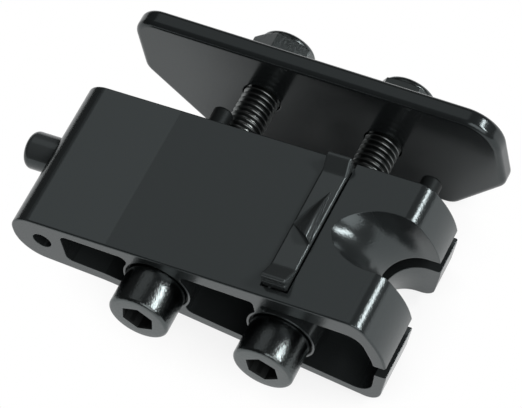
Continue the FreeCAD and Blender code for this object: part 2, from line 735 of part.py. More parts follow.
os.makedirs("parts", exist_ok=True)
for body in bodies:
    shape = body.Shape
    if not shape.isValid() or len(shape.Solids) != 1:
        raise RuntimeError("%s is not one valid solid" % body.Label)
    shape.exportStep("parts/%s.step" % body.Label)
    box = shape.BoundBox
    print("%-16s %9.1f mm3  X %.2f %.2f  Y %.2f %.2f  Z %.2f %.2f" % (
        body.Label, shape.Volume, box.XMin, box.XMax, box.YMin, box.YMax, box.ZMin, box.ZMax))
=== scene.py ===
import math

import bmesh
import bpy
from bpy.props import FloatProperty, FloatVectorProperty, IntProperty, PointerProperty
from mathutils import Matrix, Vector


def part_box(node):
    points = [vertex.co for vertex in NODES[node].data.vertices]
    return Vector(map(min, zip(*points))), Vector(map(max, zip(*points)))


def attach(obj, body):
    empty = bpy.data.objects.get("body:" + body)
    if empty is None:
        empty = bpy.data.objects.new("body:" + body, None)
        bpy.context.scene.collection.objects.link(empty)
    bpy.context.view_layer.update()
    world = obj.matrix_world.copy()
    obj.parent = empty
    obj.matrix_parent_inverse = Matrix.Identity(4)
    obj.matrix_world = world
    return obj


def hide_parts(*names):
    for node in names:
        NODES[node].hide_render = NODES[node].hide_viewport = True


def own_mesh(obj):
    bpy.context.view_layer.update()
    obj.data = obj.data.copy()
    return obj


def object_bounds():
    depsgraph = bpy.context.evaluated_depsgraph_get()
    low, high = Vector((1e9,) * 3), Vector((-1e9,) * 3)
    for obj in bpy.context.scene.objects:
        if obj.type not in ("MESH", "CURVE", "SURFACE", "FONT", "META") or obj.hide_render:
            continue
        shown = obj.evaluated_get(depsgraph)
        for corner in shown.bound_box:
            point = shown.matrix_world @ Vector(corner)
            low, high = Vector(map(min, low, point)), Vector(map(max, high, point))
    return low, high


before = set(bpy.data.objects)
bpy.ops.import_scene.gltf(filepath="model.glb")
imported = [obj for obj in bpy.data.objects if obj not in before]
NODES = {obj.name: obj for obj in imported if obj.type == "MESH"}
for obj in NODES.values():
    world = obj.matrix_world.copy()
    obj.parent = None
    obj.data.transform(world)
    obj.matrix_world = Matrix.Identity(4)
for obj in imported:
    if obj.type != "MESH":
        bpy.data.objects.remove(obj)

bl_info = {
    "name": "Bike lock bracket",
    "version": (1, 0, 0),
    "blender": (4, 5, 0),
    "location": "View3D > Sidebar > Bracket",
    "description": "Finishes, cut threads, stage and camera for a clamped bike lock bracket",
    "category": "Object",
}

CAD_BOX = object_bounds()
MM = 0.001
CLOSE = 0.001 * MM

# Faint line across the housing's top, and half the width over which the tone changes there
ZONE_LINE_X = -23.45 * MM
ZONE_BLUR = 0.15 * MM

# Socket-head bolts, as in the solids
HEAD_R = 6.5 * MM
HEAD_H = 10.0 * MM
SHANK_R = 4.0 * MM
SOCKET_FLATS = 6.0 * MM
SOCKET_DEPTH = 5.0 * MM
SOCKET_POINT = 5.6 * MM

# Small breaks of the bolts' edges, and which of their materials the sockets and threads take
FACE_LOOP_R = 4.1 * MM
MOUTH_DEPTH = 0.35 * MM
SMALL_BREAK = 0.25 * MM
RIM_BREAK = 0.3 * MM
# Painted shade: the sockets take a darker copy of the bolt's steel, standing in for the shade in these
# recesses.
SOCKET_SHADE_SLOT = 1
# Painted sheen: the threads take a paler copy of the bolt's steel, so that their crests read lighter; they
# are rougher too.
THREAD_SLOT = 2

# Catch strip: heights, finger lip, ridge in millimetres, and the knuckle it turns on
STRIP_BASE = 11.0 * MM
STRIP_TRAY = 11.9 * MM
STRIP_BACK_LIP = 13.9 * MM
LIP_LEDGE = 1.45 * MM
LIP_SETBACK = 0.3 * MM
RIDGE_POINT = (14.3, -8.4, 11.85)
RIDGE_LEFT = (10.47, -17.9)
RIDGE_RIGHT = (15.68, -21.3)
RIDGE_FOOT = 11.8
RIDGE_LEFT_TOP = 12.25
RIDGE_RIGHT_TOP = 12.2
RIDGE_CREST = 13.8
KNUCKLE_Y = -3.2 * MM
KNUCKLE_Z = 10.1 * MM
KNUCKLE_R = 1.3 * MM

# Plunger and the spring behind it
SPRING_PITCH = 1.95 * MM
SPRING_WIRE_R = 0.4 * MM

# Where the camera stood, in metres in the part's frame, and how it was turned
CAMERA_AT = (0.25525, -0.33290, 0.57360)
CAMERA_RIGHT = (0.8887, 0.4307, -0.1570)
CAMERA_DOWN = (0.2773, -0.7779, -0.5639)
SENSOR_WIDTH = 36.0


# Sizes and colours that a user would change

class BracketFinish(bpy.types.PropertyGroup):
    """Colours and gloss of the bracket's materials."""

    housing: FloatVectorProperty(
        name="Housing", description="Black moulded plastic of the housing",
        subtype="COLOR", min=0.0, max=1.0, default=(0.018, 0.0205, 0.021))
    housing_roughness: FloatProperty(
        name="Housing roughness", description="How blurred the reflections are, but for the flat top",
        subtype="FACTOR", min=0.0, max=1.0, default=0.2)
    top_roughness: FloatProperty(
        name="Top roughness", description="How blurred the reflections on the flat top are",
        subtype="FACTOR", min=0.0, max=1.0, default=0.16)
    gloss_tint: FloatVectorProperty(
        name="Gloss tint", description="Cool tint of the reflections on the plastic",
        subtype="COLOR", min=0.0, max=1.0, default=(0.86, 0.98, 1.0))
    strip: FloatVectorProperty(
        name="Strip", description="Black moulded plastic of the catch strip",
        subtype="COLOR", min=0.0, max=1.0, default=(0.027, 0.0302, 0.0307))
    plunger: FloatVectorProperty(
        name="Plunger", description="Dark coating of the nose plunger",
        subtype="COLOR", min=0.0, max=1.0, default=(0.040, 0.0445, 0.0455))
    plate: FloatVectorProperty(
        name="Plate", description="Gloss black coating of the clamp plate",
        subtype="COLOR", min=0.0, max=1.0, default=(0.014, 0.0160, 0.0165))
    steel: FloatVectorProperty(
        name="Blackened steel", description="Reflection colour of the bolts' heads and shanks",
        subtype="COLOR", min=0.0, max=1.0, default=(0.095, 0.106, 0.107))
    # Painted sheen: paler than the bolt's steel, so that the crests of the threads read lighter.
    thread: FloatVectorProperty(
        name="Thread", description="Reflection colour of the cut threads",
        subtype="COLOR", min=0.0, max=1.0, default=(0.150, 0.160, 0.158))
    nut: FloatVectorProperty(
        name="Nut steel", description="Reflection colour of the lock nuts",
        subtype="COLOR", min=0.0, max=1.0, default=(0.078, 0.088, 0.089))
    # Painted shade: darker than the bolt's steel, standing in for the shade inside the sockets.
    socket: FloatVectorProperty(
        name="Socket", description="Dark inside of the hexagon sockets",
        subtype="COLOR", min=0.0, max=1.0, default=(0.024, 0.026, 0.026))
    spring: FloatVectorProperty(
        name="Bright steel", description="Reflection colour of the spring and the cross pin",
        subtype="COLOR", min=0.0, max=1.0, default=(0.42, 0.43, 0.44))
    rubber: FloatVectorProperty(
        name="Rubber", description="Black rubber of the bumpers",
        subtype="COLOR", min=0.0, max=1.0, default=(0.0045, 0.0050, 0.0050))


class BracketBolt(bpy.types.PropertyGroup):
    """Sizes of the socket-head bolts that only the looks show."""

    pitch: FloatProperty(
        name="Pitch", description="Rise of the thread in one turn",
        subtype="DISTANCE", unit="LENGTH", min=0.0005, max=0.003, default=1.25 * MM)
    thread_depth: FloatProperty(
        name="Thread depth", description="Crest to root",
        subtype="DISTANCE", unit="LENGTH", min=0.0001, max=0.0015, default=0.72 * MM)
    thread_length: FloatProperty(
        name="Thread length", description="Length of the thread, measured from the bolt's end",
        subtype="DISTANCE", unit="LENGTH", min=0.005, max=0.06, default=28.0 * MM)
    head_rounding: FloatProperty(
        name="Head rounding", description="Rounding of the head's outer edge",
        subtype="DISTANCE", unit="LENGTH", min=0.0002, max=0.003, default=0.7 * MM)
    segments: IntProperty(
        name="Segments", description="Steps round the bolt", min=24, max=192, default=96)


class BracketStrip(bpy.types.PropertyGroup):
    """Roundings of the catch strip and the place of its ridge's crest."""

    left_rounding: FloatProperty(
        name="Left edge", description="Rounding of the strip's left top edge",
        subtype="DISTANCE", unit="LENGTH", min=0.00005, max=0.0006, default=0.2 * MM)
    right_rounding: FloatProperty(
        name="Right edge", description="Rounding of the strip's right top edge",
        subtype="DISTANCE", unit="LENGTH", min=0.00005, max=0.0006, default=0.4 * MM)
    crest: FloatProperty(
        name="Crest", description="Where the ridge's crest lies, as a share of its width",
        subtype="FACTOR", min=0.5, max=0.95, default=0.8)


class BracketStage(bpy.types.PropertyGroup):
    """Floor, lights and camera."""

    floor: FloatVectorProperty(
        name="Floor", description="Colour of the floor",
        subtype="COLOR", min=0.0, max=1.0, default=(0.92, 0.92, 0.92))
    surround: FloatProperty(
        name="Surround", description="Level of the studio round the lamps",
        min=0.0, max=2.0, default=0.06)
    lens: FloatProperty(
        name="Lens", description="Focal length of the camera on a 36 mm sensor",
        subtype="DISTANCE_CAMERA", min=20.0, max=400.0, default=241.9)


# Shader node groups

def make_group(name, inputs, outputs):
    """New shader node group with the given sockets; returns it with its two end nodes."""
    group = bpy.data.node_groups.new(name, "ShaderNodeTree")
    for label, kind, value in inputs:
        socket = group.interface.new_socket(label, in_out="INPUT", socket_type=kind)
        socket.default_value = value
    for label, kind in outputs:
        group.interface.new_socket(label, in_out="OUTPUT", socket_type=kind)
    return group, group.nodes.new("NodeGroupInput"), group.nodes.new("NodeGroupOutput")


def shared_group(name, build):
    """The node group of that name, built the first time it is asked for."""
    return bpy.data.node_groups.get(name) or build(name)


def build_grain(name):
    """Fine grain of a moulded, coated or blackened surface: a height and a soft mottle."""
    group, start, end = make_group(
        name,
        [("Scale", "NodeSocketFloat", 3000.0), ("Patch", "NodeSocketFloat", 120.0)],
        [("Height", "NodeSocketFloat"), ("Mottle", "NodeSocketFloat")])
    nodes, links = group.nodes, group.links
    place = nodes.new("ShaderNodeTexCoord")
    fine = nodes.new("ShaderNodeTexNoise")
    fine.inputs["Detail"].default_value = 1.0
    fine.inputs["Roughness"].default_value = 0.4
    broad = nodes.new("ShaderNodeTexNoise")
    broad.inputs["Detail"].default_value = 4.0
    broad.inputs["Roughness"].default_value = 0.55
    for texture, size in ((fine, "Scale"), (broad, "Patch")):
        links.new(place.outputs["Object"], texture.inputs["Vector"])
        links.new(start.outputs[size], texture.inputs["Scale"])
    links.new(fine.outputs["Fac"], end.inputs["Height"])
    links.new(broad.outputs["Fac"], end.inputs["Mottle"])
    return group


def build_edge(name):
    """Softly broken edges: a normal that rounds them, and a mask that is 1 on them, with which the finishes
    paint a lighter highlight along the edges.
    """
    group, start, end = make_group(
        name,
        [("Radius", "NodeSocketFloat", 0.0004), ("Gain", "NodeSocketFloat", 6.0)],
        [("Mask", "NodeSocketFloat"), ("Normal", "NodeSocketVector")])
    nodes, links = group.nodes, group.links
    bevel = nodes.new("ShaderNodeBevel")
    bevel.samples = 6
    surface = nodes.new("ShaderNodeNewGeometry")
    dot = nodes.new("ShaderNodeVectorMath")
    dot.operation = "DOT_PRODUCT"
    turn = nodes.new("ShaderNodeMath")
    turn.operation = "SUBTRACT"
    turn.inputs[0].default_value = 1.0
    gain = nodes.new("ShaderNodeMath")
    gain.operation = "MULTIPLY"
    gain.use_clamp = True
    links.new(start.outputs["Radius"], bevel.inputs["Radius"])
    links.new(bevel.outputs["Normal"], dot.inputs[0])
    links.new(surface.outputs["Normal"], dot.inputs[1])
    links.new(dot.outputs["Value"], turn.inputs[1])
    links.new(turn.outputs["Value"], gain.inputs[0])
    links.new(start.outputs["Gain"], gain.inputs[1])
    links.new(gain.outputs["Value"], end.inputs["Mask"])
    links.new(bevel.outputs["Normal"], end.inputs["Normal"])
    return group


def new_material(name):
    """New material with its nodes, its links and its main shader."""
    material = bpy.data.materials.new(name)
    material.use_nodes = True
    tree = material.node_tree
    return material, tree.nodes, tree.links, tree.nodes["Principled BSDF"]


def add_group(nodes, group, **values):
    """Put a node group into a material and set its inputs."""
    node = nodes.new("ShaderNodeGroup")
    node.node_tree = group
    for label, value in values.items():
        node.inputs[label].default_value = value
    return node


def join(nodes, links, operation, first, second):
    """One number from two."""
    node = nodes.new("ShaderNodeMath")
    node.operation = operation
    links.new(first, node.inputs[0])
    links.new(second, node.inputs[1])
    return node.outputs["Value"]


def map_range(nodes, links, source, low, high, source_low=0.0, source_high=1.0):
    """Stretch a value to run from low to high, and hold it there."""
    node = nodes.new("ShaderNodeMapRange")
    node.inputs["From Min"].default_value = source_low
    node.inputs["From Max"].default_value = source_high
    node.inputs["To Min"].default_value = low
    node.inputs["To Max"].default_value = high
    links.new(source, node.inputs["Value"])
    return node.outputs["Result"]


def flat_top(nodes, links):
    """Mask that is 0 on faces that look straight up and 1 on the others."""
    place = nodes.new("ShaderNodeTexCoord")
    split = nodes.new("ShaderNodeSeparateXYZ")
    links.new(place.outputs["Normal"], split.inputs["Vector"])
    return map_range(nodes, links, split.outputs["Z"], 1.0, 0.0, 0.985, 0.998)


def zone_mask(nodes, links, off_top):
    """Mask that is 1 on the flat top towards the nose, up to the faint line across it."""
    place = nodes.new("ShaderNodeTexCoord")
    split = nodes.new("ShaderNodeSeparateXYZ")
    links.new(place.outputs["Object"], split.inputs["Vector"])
    near = map_range(nodes, links, split.outputs["X"], 1.0, 0.0,
                     ZONE_LINE_X - ZONE_BLUR, ZONE_LINE_X + ZONE_BLUR)
    return join(nodes, links, "SUBTRACT", near, off_top)


def tone(colour, share):
    """Colour made lighter or darker, with its alpha."""
    return (*[min(1.0, c * share) for c in colour], 1.0)


def blend(nodes, links, mask, under, over):
    """Lay a colour over a colour or a colour socket where a mask is 1."""
    node = nodes.new("ShaderNodeMix")
    node.data_type = "RGBA"
    if isinstance(under, tuple):
        node.inputs["A"].default_value = under
    else:
        links.new(under, node.inputs["A"])
    node.inputs["B"].default_value = over
    links.new(mask, node.inputs["Factor"])
    return node.outputs["Result"]


def surface(name, colour, roughness, spread=0.03, scale=3000.0, patch=120.0, bump=0.02,
            bump_height=0.02 * MM, shade=0.06, metallic=0.0, specular=0.5, tint=(1.0, 1.0, 1.0), edge=0.0,
            top=None, zone_lift=1.0):
    """Procedural finish: mottled colour and roughness, fine bump, and softly broken edges with a painted
    highlight along them.

    With a roughness for the top, faces that look straight up are smooth, and paler towards the nose.
    """
    edge_gain, edge_highlight_lift, top_spread = 4.0, 1.5, 0.01
    material, nodes, links, shader = new_material(name)
    grain = add_group(nodes, shared_group("Surface grain", build_grain), Scale=scale, Patch=patch)
    mottle, height = grain.outputs["Mottle"], grain.outputs["Height"]
    relief = nodes.new("ShaderNodeBump")
    base = blend(nodes, links, mottle, tone(colour, 1.0 - shade), tone(colour, 1.0 + shade))
    if edge > 0.0:
        rim = add_group(nodes, shared_group("Broken edges", build_edge), Radius=edge, Gain=edge_gain)
        # Painted highlight: the edges take a lighter tone of the colour, standing in for the light that
        # their small roundings catch.
        base = blend(nodes, links, rim.outputs["Mask"], base, tone(colour, edge_highlight_lift))
        links.new(rim.outputs["Normal"], relief.inputs["Normal"])
    rough = map_range(nodes, links, mottle, roughness - spread, roughness + spread)
    if top is not None:
        off_top = flat_top(nodes, links)
        base = blend(nodes, links, zone_mask(nodes, links, off_top), base, tone(colour, zone_lift))
        rough = join(nodes, links, "MULTIPLY", rough, off_top)
        satin = map_range(nodes, links, mottle, top - top_spread, top + top_spread)
        rough = join(nodes, links, "MAXIMUM", rough, satin)
        height = join(nodes, links, "MULTIPLY", height, off_top)
    relief.inputs["Strength"].default_value = bump
    relief.inputs["Distance"].default_value = bump_height
    links.new(height, relief.inputs["Height"])
    links.new(base, shader.inputs["Base Color"])
    links.new(rough, shader.inputs["Roughness"])
    links.new(relief.outputs["Normal"], shader.inputs["Normal"])
    shader.inputs["Metallic"].default_value = metallic
    shader.inputs["Specular IOR Level"].default_value = specular
    shader.inputs["Specular Tint"].default_value = (*tint, 1.0)
    return material


def dress(node, material):
    """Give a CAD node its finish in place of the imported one."""
    mesh = NODES[node].data
    mesh.materials.clear()
    mesh.materials.append(material)


# Mesh helpers

def ring(centre, radius_at, y, count):
    """Loop of points about an axis along Y; the radius may change with the angle."""
    points = []
    for k in range(count):
        angle = 2.0 * math.pi * k / count
        r = radius_at(angle)
        points.append(Vector((centre[0] + r * math.cos(angle), y, centre[1] + r * math.sin(angle))))
    return points


def skin(mesh, loops, close_first=True, close_last=True):
    """Quads between loops of the same count, with the two ends closed if asked."""
    rows = [[mesh.verts.new(p) for p in loop] for loop in loops]
    count = len(rows[0])
    for low, high in zip(rows, rows[1:]):
        for k in range(count):
            nxt = (k + 1) % count
            mesh.faces.new((low[k], low[nxt], high[nxt], high[k]))
    if close_first:
        mesh.faces.new(list(reversed(rows[0])))
    if close_last:
        mesh.faces.new(rows[-1])
    return rows


def finish_mesh(name, mesh, body, material, replaced, sharp=35.0):
    """Turn a bmesh into a smooth piece that rides on a body and stands for a CAD node."""
    bmesh.ops.recalc_face_normals(mesh, faces=mesh.faces)
    data = bpy.data.meshes.new(name)
    mesh.to_mesh(data)
    mesh.free()
    data.shade_smooth()
    data.set_sharp_from_angle(angle=math.radians(sharp))
    data.materials.append(material)
    piece = bpy.data.objects.new(name, data)
    bpy.context.scene.collection.objects.link(piece)
    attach(piece, body)
    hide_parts(replaced)
    return piece


def hexagon(flats, turn):
    """Radius of a hexagon at an angle, for a given distance across flats."""
    def radius(angle):
        step = math.radians(60.0)
        return flats / 2.0 / math.cos((angle - turn) % step - step / 2.0)
    return radius


def open_edges(mesh, y):
    """Open edges of a mesh that lie at a place along Y."""
    return [e for e in mesh.edges if e.is_boundary and all(abs(v.co.y - y) < CLOSE for v in e.verts)]


def thread_part(mesh, centre, radius, start, end, props):
    """Cut thread between two places along Y: fades in at the start, tapers at the end."""
    pitch, depth, count = props.pitch, props.thread_depth, props.segments
    shoulder = 0.12 * depth
    profile = (
        (0.00, depth), (0.12, depth), (0.36, shoulder),
        (0.50, 0.0), (0.64, shoulder), (0.88, depth),
    )
    turns = int(math.ceil((end - start) / pitch)) + 2
    first = start - pitch
    fade = 0.8 * pitch
    rows = []
    for step in range(turns * count + 1):
        angle = 2.0 * math.pi * step / count
        row = []
        for share, drop in profile:
            y = first + pitch * (step / count + share)
            grow = min(1.0, max(0.0, (y - start) / fade))
            r = min(radius - drop * grow, radius - depth + max(0.0, end - y))
            place = (centre[0] + r * math.cos(angle), y, centre[1] + r * math.sin(angle))
            row.append(mesh.verts.new(place))
        rows.append(row)
    last = len(profile) - 1
    for step in range(turns * count):
        low, high = rows[step], rows[step + 1]
        for k in range(last):
            mesh.faces.new((low[k], high[k], high[k + 1], low[k + 1]))
        if step + count + 1 < len(rows):
            mesh.faces.new((low[last], high[last], rows[step + count + 1][0], rows[step + count][0]))
    for place, way in ((start, -1), (end, 1)):
        whole = mesh.verts[:] + mesh.edges[:] + mesh.faces[:]
        bmesh.ops.bisect_plane(mesh, geom=whole, plane_co=(0, place, 0), plane_no=(0, way, 0),
                               clear_outer=True, dist=1e-8)
    bmesh.ops.holes_fill(mesh, edges=open_edges(mesh, end))
    return open_edges(mesh, start)


def bolt_piece(side, turn, material, others, props):
    """Socket-head bolt: rounded head with a hexagon socket, plain shank and a cut thread."""
    low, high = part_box("bolt_" + side)
    centre = ((low.x + high.x) / 2.0, (low.z + high.z) / 2.0)
    count = props.segments
    rounding = props.head_rounding
    top, tip = low.y, high.y
    seat = top + HEAD_H
    start = tip - props.thread_length
    step = math.radians(360.0 / count)
    socket = hexagon(SOCKET_FLATS, round(math.radians(turn) / step) * step)
    loops = [
        ring(centre, lambda a: 0.35 * socket(a), top + SOCKET_POINT, count),
        ring(centre, socket, top + SOCKET_DEPTH, count),
        ring(centre, socket, top + MOUTH_DEPTH, count),
        ring(centre, lambda a: socket(a) + SMALL_BREAK, top, count),
    ]
    socket_rows = len(loops)
    outside = [(FACE_LOOP_R, top)]
    for degrees in (90.0, 78.0, 62.0, 45.0, 30.0, 15.0, 0.0):
        bend = math.radians(degrees)
        outside.append((HEAD_R - rounding + rounding * math.cos(bend),
                        top + rounding - rounding * math.sin(bend)))
    outside += [
        (HEAD_R, seat - MOUTH_DEPTH),
        (HEAD_R - RIM_BREAK, seat),
        (SHANK_R + SMALL_BREAK, seat),
        (SHANK_R, seat + SMALL_BREAK),
        (SHANK_R, start - RIM_BREAK),
    ]
    loops += [ring(centre, lambda a, r=r: r, y, count) for r, y in outside]
    mesh = bmesh.new()
    thread_edge = thread_part(mesh, centre, SHANK_R, start, tip, props)
    for face in mesh.faces:
        face.material_index = THREAD_SLOT
    rows = skin(mesh, loops, close_last=False)
    inside = {v for row in rows[:socket_rows] for v in row}
    # The socket's faces take the darker steel: painted shade for the recess.
    for face in mesh.faces:
        if all(v in inside for v in face.verts):
            face.material_index = SOCKET_SHADE_SLOT
    last = rows[-1]
    shank_edge = [mesh.edges.get((last[k], last[(k + 1) % count])) for k in range(count)]
    bmesh.ops.bridge_loops(mesh, edges=thread_edge + shank_edge)
    piece = finish_mesh("threaded_bolt_" + side, mesh, "bolt_" + side, material, "bolt_" + side)
    for extra in others:
        piece.data.materials.append(extra)
    return piece


def round_corners(points, cuts):
    """Points with their corners bent over a given length each; 0 keeps a corner as it is."""
    bent = []
    for k, (point, cut) in enumerate(zip(points, cuts)):
        if cut == 0.0:
            bent.append(point)
            continue
        first = point + (points[k - 1] - point).normalized() * cut
        last = point + (points[(k + 1) % len(points)] - point).normalized() * cut
        for t in (0.0, 0.25, 0.5, 0.75, 1.0):
            bent.append(first * (1.0 - t) ** 2 + point * (2.0 * t * (1.0 - t)) + last * t ** 2)
    return bent


def shrink(line, depth, end):
    """Side line of (y, z) points made smaller by a depth at its top and within a length at its two ends."""
    front, base = line[0]
    back = line[-1].x
    tall = max(point.y for point in line) - base
    share = (end - depth) / end
    play = 0.01 * MM
    smaller = []
    for y, z in line:
        upright = y < front + LIP_SETBACK + play or y > back - play
        low = (z - base) * (1.0 - depth / tall) if upright else z - base - depth
        if y < front + end:
            y = front + end - (front + end - y) * share
        elif y > back - end:
            y = back - end + (y - back + end) * share
        smaller.append(Vector((y, base + low)))
    return smaller


def strip_side(low, high):
    """Side line of the strip as (y, z) points: finger lip with a ledge, flat tray, back lip."""
    front, back = low.y, high.y
    ledge = STRIP_BASE + LIP_LEDGE
    # Along Y, up, and the length over which the corner is bent
    corners = (
        (front, STRIP_BASE, 0.0),
        (front, ledge, 0.12 * MM),
        (front + LIP_SETBACK, ledge + LIP_SETBACK / 2.0, 0.0),
        (front + LIP_SETBACK, high.z, 0.3 * MM),
        (front + 0.95 * MM, high.z, 0.2 * MM),
        (front + 4.6 * MM, STRIP_TRAY, 0.5 * MM),
        (back - 3.6 * MM, STRIP_TRAY, 0.5 * MM),
        (back - 0.9 * MM, STRIP_BACK_LIP, 0.3 * MM),
        (back, STRIP_BACK_LIP, 0.4 * MM),
        (back, STRIP_BASE, 0.0),
    )
    return round_corners([Vector(corner[:2]) for corner in corners], [corner[2] for corner in corners])


def strip_body(mesh, low, high, props):
    """Body of the strip with its two long edges rounded; a loop beside each keeps the tray flat."""
    line = strip_side(low, high)
    end = 0.9 * MM
    beside = 0.08 * MM
    loops = []
    for edge, way, r, turns in (
            (low.x, 1.0, props.left_rounding, (0, 30, 60, 90)),
            (high.x, -1.0, props.right_rounding, (90, 67, 45, 22, 0))):
        bent = []
        for turn in turns:
            bend = math.radians(turn)
            x = edge + way * r * (1.0 - math.cos(bend))
            smaller = shrink(line, r * (1.0 - math.sin(bend)), end)
            bent.append([Vector((x, *point)) for point in smaller])
        flat = [Vector((edge + way * (r + beside), *point)) for point in line]
        loops += [*bent, flat] if way > 0.0 else [flat, *bent]
    skin(mesh, loops)


def strip_ridge(mesh, props):
    """Ridge on the tray: rises from a point at the back and swells to its full section in front."""
    crest = props.crest
    outline = [(0.0, RIDGE_FOOT)]
    for step in range(13):
        t = step / 12
        rise = t * t * (3.0 - 2.0 * t)
        outline.append((crest * t, RIDGE_LEFT_TOP + (RIDGE_CREST - RIDGE_LEFT_TOP) * rise))
    for step in range(1, 9):
        bend = math.radians(90.0 * step / 8)
        fall = RIDGE_RIGHT_TOP + (RIDGE_CREST - RIDGE_RIGHT_TOP) * math.cos(bend)
        outline.append((crest + (1.0 - crest) * math.sin(bend), fall))
    outline.append((1.0, RIDGE_FOOT))
    left, right = Vector(RIDGE_LEFT), Vector(RIDGE_RIGHT)
    section = [Vector((*left.lerp(right, share), z)) * MM for share, z in outline]
    point = Vector(RIDGE_POINT) * MM
    loops = []
    for share in (0.02, 0.06, 0.12, 0.2, 0.3, 0.45, 0.6, 0.8, 1.0):
        grown = 1.0 - (1.0 - share) ** 3
        loop = []
        for end in section:
            place = point.lerp(end, share)
            place.z = point.z + (end.z - point.z) * grown
            loop.append(place)
        loops.append(loop)
    skin(mesh, loops)


def strip_knuckle(mesh, low, high):
    """Round knuckle under the strip, on which it turns."""
    sides = 32
    inset = 0.1 * MM
    angles = [2.0 * math.pi * k / sides for k in range(sides)]
    line = [(KNUCKLE_Y + KNUCKLE_R * math.cos(a), KNUCKLE_Z + KNUCKLE_R * math.sin(a)) for a in angles]
    skin(mesh, [[Vector((x, *p)) for p in line] for x in (low.x + inset, high.x - inset)])


def strip_piece(material, props):
    """Catch strip: body with finger lip and back lip, ridge that swells to a crest, pivot knuckle."""
    low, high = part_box("catch_strip")
    mesh = bmesh.new()
    strip_body(mesh, low, high, props)
    strip_ridge(mesh, props)
    strip_knuckle(mesh, low, high)
    return finish_mesh("moulded_catch_strip", mesh, "catch", material, "catch_strip")


def spring_piece(material):
    """Compression spring wound about X, built at its rest length; on the real bracket it shortens as the
    plunger goes in.
    """
    low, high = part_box("plunger_spring")
    middle = Vector((0.0, (low.y + high.y) / 2.0, (low.z + high.z) / 2.0))
    wire = SPRING_WIRE_R
    coil = (high.y - low.y) / 2.0 - wire
    length = high.x - low.x - 2.0 * wire
    turn_steps, wire_sides = 24, 10
    steps = int(turn_steps * length / SPRING_PITCH)
    bends = [2.0 * math.pi * k / wire_sides for k in range(wire_sides)]
    along = Vector((1.0, 0.0, 0.0))
    loops = []
    for step in range(steps + 1):
        angle = 2.0 * math.pi * step / turn_steps
        out = Vector((0.0, math.cos(angle), math.sin(angle)))
        centre = middle + out * coil + along * (low.x + wire + length * step / steps)
        loops.append([centre + (out * math.cos(b) + along * math.sin(b)) * wire for b in bends])
    mesh = bmesh.new()
    skin(mesh, loops)
    piece = finish_mesh("coil_spring", mesh, "base", material, "plunger_spring", sharp=60.0)
    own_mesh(piece)
    return piece


# Operators

class BRACKET_OT_housing(bpy.types.Operator):
    """Finish the moulded housing"""

    bl_idname = "bracket.housing"
    bl_label = "Housing"

    def execute(self, context):
        finish = context.scene.bracket_finish
        plastic = surface("Housing plastic", finish.housing, finish.housing_roughness,
                          scale=2800.0, bump=1.0, bump_height=0.024 * MM, shade=0.03, specular=0.7,
                          tint=finish.gloss_tint, edge=0.25 * MM, top=finish.top_roughness, zone_lift=1.75)
        dress("housing", plastic)
        return {"FINISHED"}


class BRACKET_OT_strip(bpy.types.Operator):
    """Build the catch strip on top with its rounded edges"""

    bl_idname = "bracket.strip"
    bl_label = "Catch strip"

    def execute(self, context):
        finish = context.scene.bracket_finish
        plastic = surface("Strip plastic", finish.strip, roughness=0.24, spread=0.02,
                          scale=2800.0, bump=1.0, bump_height=0.012 * MM, shade=0.03, specular=0.7,
                          tint=finish.gloss_tint, edge=0.12 * MM)
        strip_piece(plastic, context.scene.bracket_strip)
        return {"FINISHED"}


class BRACKET_OT_plunger(bpy.types.Operator):
    """Finish the nose plunger and its cross pin and build the spring behind it"""

    bl_idname = "bracket.plunger"
    bl_label = "Plunger"

    def execute(self, context):
        finish = context.scene.bracket_finish
        coating = surface("Plunger coating", finish.plunger, roughness=0.2, shade=0.04,
                          tint=finish.gloss_tint, edge=0.3 * MM)
        bright = surface("Spring steel", finish.spring, roughness=0.3, spread=0.05, metallic=1.0)
        dress("plunger", coating)
        dress("plunger_pin", bright)
        spring_piece(bright)
        return {"FINISHED"}


class BRACKET_OT_bolts(bpy.types.Operator):
    """Build both clamp bolts with heads, sockets and cut threads"""

    bl_idname = "bracket.bolts"
    bl_label = "Clamp bolts"

    def execute(self, context):
        finish = context.scene.bracket_finish
        props = context.scene.bracket_bolt
        steel = surface("Blackened steel", finish.steel, roughness=0.25, spread=0.05, scale=2600.0,
                        patch=500.0, bump=1.0, bump_height=0.045 * MM, shade=0.12, metallic=1.0)
        # Painted shade: a darker copy of the steel for the sockets.
        socket_shade = surface("Socket steel with painted shade", finish.socket, roughness=0.7, spread=0.05, scale=1400.0,
                       metallic=1.0)
        # Painted sheen: a paler, rougher copy of the steel for the threads.
        thread = surface("Thread steel with painted sheen", finish.thread, roughness=0.32, spread=0.06, scale=1500.0,
                         bump=0.5, shade=0.1, metallic=1.0)
        for side, turn in (("left", 17.0), ("right", 31.0)):
            bolt_piece(side, turn, steel, (socket_shade, thread), props)
        return {"FINISHED"}


class BRACKET_OT_clamp(bpy.types.Operator):
    """Finish the clamp plate, its lock nuts and their rings"""

    bl_idname = "bracket.clamp"
    bl_label = "Clamp plate and nuts"

    def execute(self, context):
        finish = context.scene.bracket_finish
        coating = surface("Plate coating", finish.plate, roughness=0.16, spread=0.02, scale=700.0,
                          bump=0.03, shade=0.04, tint=finish.gloss_tint, edge=0.4 * MM)
        nut = surface("Nut steel", finish.nut, roughness=0.28, spread=0.08, scale=1500.0, bump=1.0,
                      bump_height=0.024 * MM, shade=0.2, metallic=1.0, edge=0.3 * MM)
        ring_plastic = surface("Locking ring plastic", finish.rubber, roughness=0.4, spread=0.04)
        dress("clamp_plate", coating)
        for side in ("left", "right"):
            dress("nut_" + side, nut)
            dress("nut_insert_" + side, ring_plastic)
        return {"FINISHED"}


class BRACKET_OT_bumpers(bpy.types.Operator):
    """Finish the two rubber bumpers on the back face"""

    bl_idname = "bracket.bumpers"
    bl_label = "Bumpers"

    def execute(self, context):
        finish = context.scene.bracket_finish
        rubber = surface("Bumper rubber", finish.rubber, roughness=0.55, spread=0.06, bump=0.06,
                         specular=0.25, tint=finish.gloss_tint)
        for side in ("left", "right"):
            dress("bumper_" + side, rubber)
        return {"FINISHED"}


